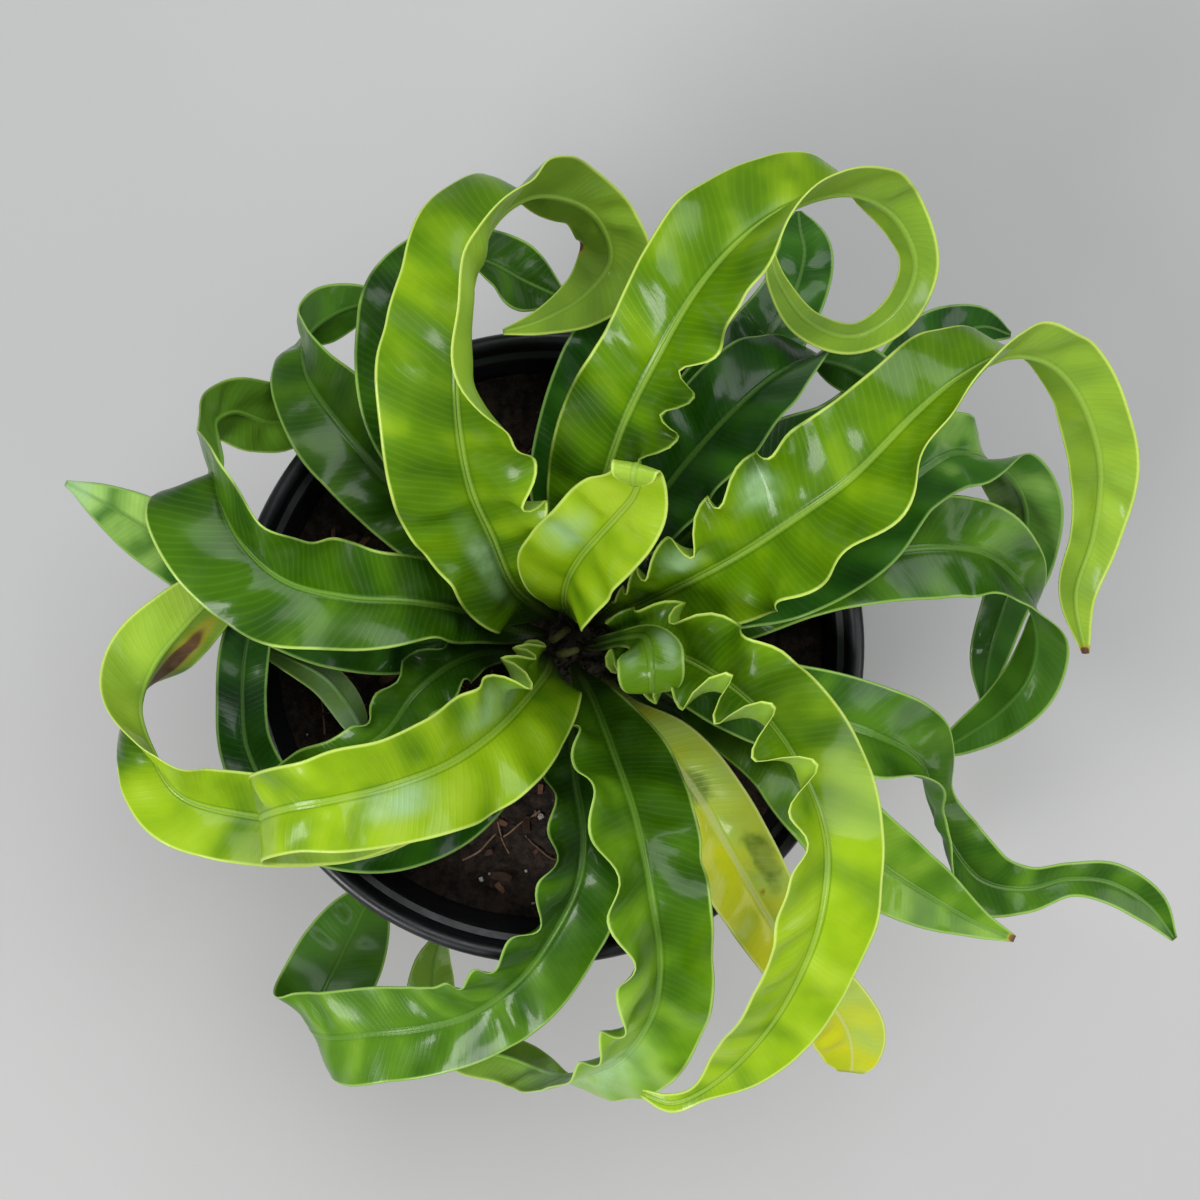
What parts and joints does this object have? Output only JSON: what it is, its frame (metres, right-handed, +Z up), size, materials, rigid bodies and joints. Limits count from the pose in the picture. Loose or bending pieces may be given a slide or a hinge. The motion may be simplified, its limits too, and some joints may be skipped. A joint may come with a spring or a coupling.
{
  "type": "potted hurricane bird's nest fern",
  "caption": "Bird's nest fern with curled, ruffled strap fronds that spiral out from a central crown, in soil in a round tapered black nursery pot.",
  "frame": {"origin": "centre of the pot's flat base", "axes": "+Z up along the pot's axis, +Y towards the top of the picture, +X towards its right"},
  "size_m": [0.2989, 0.2359, 0.2113],
  "materials": {
    "pot_plastic": "satin black",
    "potting_mix": "damp bark mix",
    "crown_scales": "fuzzy brown",
    "leaf_bright": "glossy fresh leaf",
    "leaf_fresh": "glossy leaf",
    "leaf_deep": "glossy mature leaf",
    "leaf_dark": "glossy shaded leaf",
    "leaf_yellowed": "old dry leaf"
  },
  "bodies": {
    "root": {"pot": "pot_plastic", "soil": "potting_mix", "crown": "crown_scales", "frond_north": "leaf_bright", "frond_northeast": "leaf_bright", "frond_east": "leaf_bright", "frond_southeast": "leaf_bright", "frond_south": "leaf_fresh", "frond_southwest": "leaf_bright", "frond_west": "leaf_fresh", "frond_young_rolled": "leaf_bright", "frond_young_curled": "leaf_fresh", "frond_low_northwest": "leaf_deep", "frond_low_north": "leaf_deep", "frond_low_north_narrow": "leaf_dark", "frond_low_northeast": "leaf_dark", "frond_under_northeast": "leaf_dark", "frond_under_east": "leaf_dark", "frond_low_east": "leaf_dark", "frond_low_east_broad": "leaf_deep", "frond_low_southeast_tail": "leaf_deep", "frond_under_southeast": "leaf_deep", "frond_old_yellow": "leaf_yellowed", "frond_low_south": "leaf_deep", "frond_under_southwest": "leaf_dark", "frond_southwest_loop": "leaf_bright", "frond_under_west_narrow": "leaf_deep", "frond_wavy_west": "leaf_deep", "frond_under_west": "leaf_dark"}
  },
  "joints": []
}
